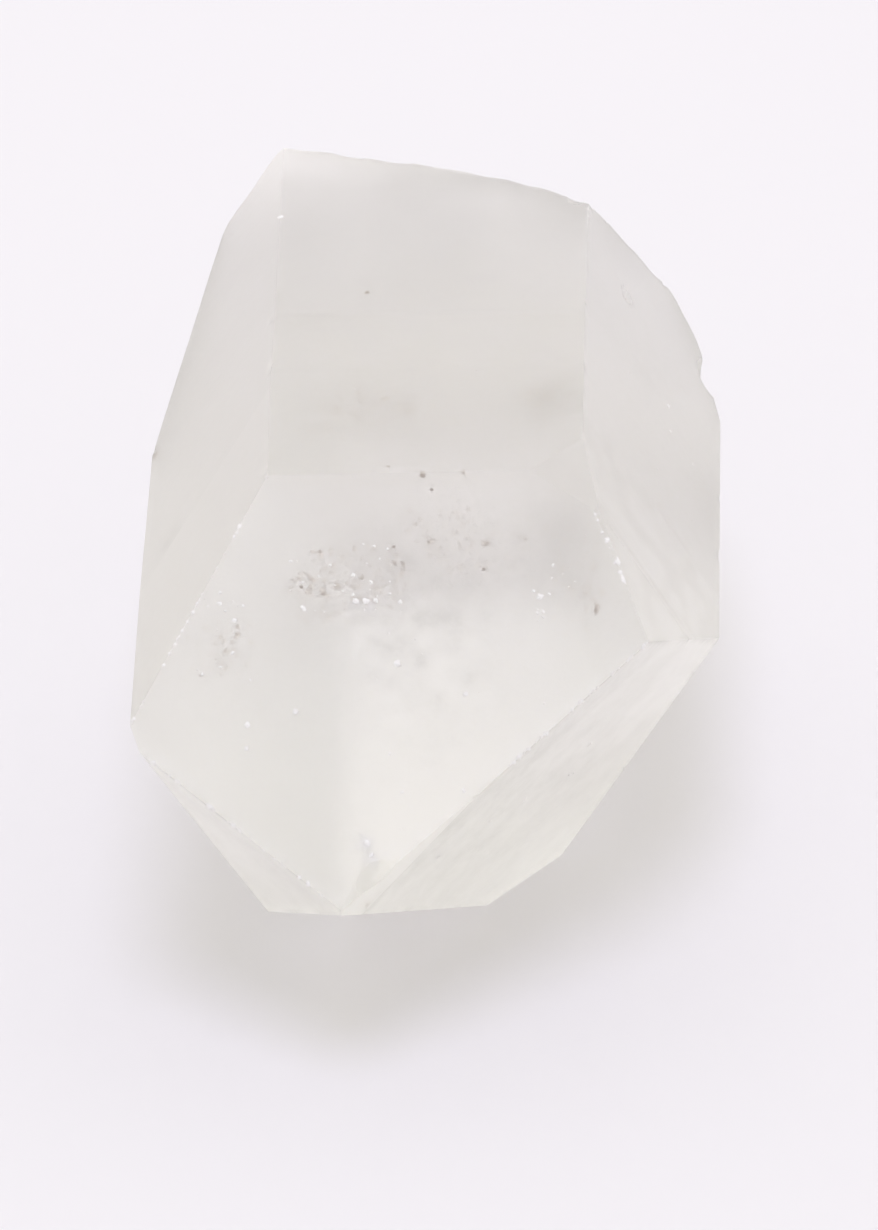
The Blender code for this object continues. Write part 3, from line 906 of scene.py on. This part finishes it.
# Painted glint white: dull, in grains of 0.08 mm with greyer hollows.
GLINT_GRAIN = 0.08 * MM
glint_white_paint = bpy.data.materials.new("painted_glint_white")
tree = bare_tree(glint_white_paint)
place = add(tree, "TexCoord", {}).outputs["Object"]
grainy_noise = {"Scale": 0.5 / GLINT_GRAIN, "Detail": 3.0}
grainy = add(tree, "TexNoise", grainy_noise, {"Vector": place}).outputs["Fac"]
whites = {"data_type": "RGBA", 6: linear("#f1eeeb"), 7: linear("#ffffff")}
white = add(tree, "Mix", whites, {0: grainy}).outputs[2]
shader = add(tree, "BsdfPrincipled", {"Roughness": 0.7}, {"Base Color": white})
add(tree, "OutputMaterial", {}, {"Surface": shader.outputs[0]})
put_inside("painted_glints", points, faces, glint_white_paint)

# ---- Mineral specks inside -----------------------------------------------------------------
# Grains of iron oxide, two or three tenths of a millimetre across, that the crystal grew over.
# They are held by the quartz around them.

# Each grain: middle (right, back, up) and radius.
SPECKS = (
    ((-0.40, -3.20, 11.10), 0.16),
    ((0.05, -3.75, 10.60), 0.10),
    ((-2.10, -2.60, 11.10), 0.10),
    ((1.60, -3.00, 11.05), 0.09),
    ((-14.35, 8.42, 3.75), 0.14),
    ((-3.62, 12.06, 11.05), 0.13),
    ((9.20, 15.67, 8.05), 0.13),
    ((-3.30, -18.40, -3.30), 0.16),
    ((-1.80, -6.10, 8.90), 0.10),
    ((2.60, -6.90, 8.10), 0.10),
    ((-6.30, -7.60, 7.60), 0.10),
    ((-11.20, -11.00, 4.80), 0.09),
)
GRAIN_FLATNESS = 0.7
middle, radius = (np.array(column) for column in zip(*SPECKS))
# Each grain lies flat to its own direction, which wanders from one to the next.
facings = lumps(middle, 0.7, 41)[:, None] * (0.4, -0.7, 0.5) + (0.2, 0.3, 1.0)
points, faces = lenses(middle, facings, radius, GRAIN_FLATNESS)

# Iron oxide grain: opaque, earthy and dull, a pale brown with darker pits 0.1 mm apart.
PITS = 0.1 * MM
iron = bpy.data.materials.new("iron_oxide_grains")
tree = bare_tree(iron)
place = add(tree, "TexCoord", {}).outputs["Object"]
pitted = {"Scale": 0.5 / PITS, "Detail": 2.0}
pits = add(tree, "TexNoise", pitted, {"Vector": place}).outputs["Fac"]
browns = {"data_type": "RGBA", 6: linear("#b5a99d"), 7: linear("#cfc5bb")}
earth = add(tree, "Mix", browns, {0: pits}).outputs[2]
shader = add(tree, "BsdfPrincipled", {"Roughness": 0.8}, {"Base Color": earth})
add(tree, "OutputMaterial", {}, {"Surface": shader.outputs[0]})
put_inside("mineral_specks", points, faces, iron)

# ---- The table -----------------------------------------------------------------------------
# A plain pale table top of matt painted board, far wider than the view. The crystal only lies
# on it.

HALF_TABLE = 3.0
TABLE_DROP = 5e-5  # keeps its top off the crystal's underside, in metres like its size
edge = np.array([[-1, -1], [1, -1], [1, 1], [-1, 1]]) * HALF_TABLE
board = bpy.data.meshes.new("table")
board.from_pydata([(x, y, -TABLE_DROP) for x, y in edge.tolist()], [], [(0, 1, 2, 3)])
table = bpy.data.objects.new("table", board)
bpy.context.scene.collection.objects.link(table)
paint = bpy.data.materials.new("matt_white_paint")
tree = bare_tree(paint)
matt = {"Base Color": linear("#eeecee"), "Roughness": 0.9, "Specular IOR Level": 0.2}
shader = add(tree, "BsdfPrincipled", matt)
add(tree, "OutputMaterial", {}, {"Surface": shader.outputs[0]})
board.materials.append(paint)

# ---- Light and camera ----------------------------------------------------------------------
# A white room, brighter behind the crystal than in front of it, with one soft, slightly violet
# lamp almost overhead, and a long lens looking down at the tip.

room = bpy.data.worlds.new("white_room")
bpy.context.scene.world = room
tree = bare_tree(room)
look = add(tree, "TexCoord", {}).outputs["Generated"]
backward = {"operation": "DOT_PRODUCT", 1: (0.0, 1.0, 0.0)}
back = add(tree, "VectorMath", backward, {0: look}).outputs["Value"]
span = {"From Min": -1.0, "From Max": 1.0, "To Min": 0.55, "To Max": 1.25}
bright = add(tree, "MapRange", span, {"Value": back}).outputs["Result"]
walls = add(tree, "Background", {"Color": linear("#fffdf8")}, {"Strength": bright})
add(tree, "OutputWorld", {}, {"Surface": walls.outputs[0]})

# Height of the lamp above the horizon behind, so that 99 degrees is just in front of overhead.
LAMP_HEIGHT = math.radians(99)
LAMP_WIDTH = math.radians(24)
LAMP_ENERGY = 0.82
LAMP_COLOUR = "#e2e1ff"
lamp_data = bpy.data.lights.new("soft_lamp", "SUN")
lamp_data.angle = LAMP_WIDTH
lamp_data.energy = LAMP_ENERGY
lamp_data.color = linear(LAMP_COLOUR)[:3]
lamp = bpy.data.objects.new("soft_lamp", lamp_data)
bpy.context.scene.collection.objects.link(lamp)
toward_lamp = Vector((0.0, math.cos(LAMP_HEIGHT), math.sin(LAMP_HEIGHT)))
lamp.rotation_euler = toward_lamp.to_track_quat("Z", "Y").to_euler()

# The view: how far it looks down, the crystal's turn under it, and the camera's own roll. The
# lens is worked out for a frame 1230 pixels high, with 20 pixels to the millimetre, and the
# camera stands AWAY such pixels off.
LOOK_DOWN, TURN, ROLL = (math.radians(a) for a in (37.7, 3.6, -2.5))
FRAME_HEIGHT = 1230
AWAY = 9171
MM_PER_PIXEL = 0.05
SENSOR = 36
c, s = math.cos, math.sin
turned = np.array([[c(TURN), -s(TURN), 0], [s(TURN), c(TURN), 0], [0, 0, 1]])
tipped = np.array([[1, 0, 0], [0, c(LOOK_DOWN), -s(LOOK_DOWN)], [0, s(LOOK_DOWN), c(LOOK_DOWN)]])
rolled = np.array([[c(ROLL), -s(ROLL), 0], [s(ROLL), c(ROLL), 0], [0, 0, 1]])
rows = rolled @ tipped @ turned
axes = np.stack([rows[:, 0], -rows[:, 2], rows[:, 1]], axis=1)
stand = np.eye(4)
stand[:3, :3] = axes.T
stand[:3, 3] = AXIS_AT * MM + axes[2] * AWAY * MM_PER_PIXEL * MM
camera = bpy.data.objects.new("camera", bpy.data.cameras.new("camera"))
bpy.context.scene.collection.objects.link(camera)
camera.matrix_world = stand.T.tolist()
camera.data.sensor_width = SENSOR
camera.data.lens = SENSOR * AWAY / FRAME_HEIGHT
camera.data.clip_start, camera.data.clip_end = 0.01, 20
bpy.context.scene.camera = camera
bpy.context.scene.view_settings.view_transform = "Standard"
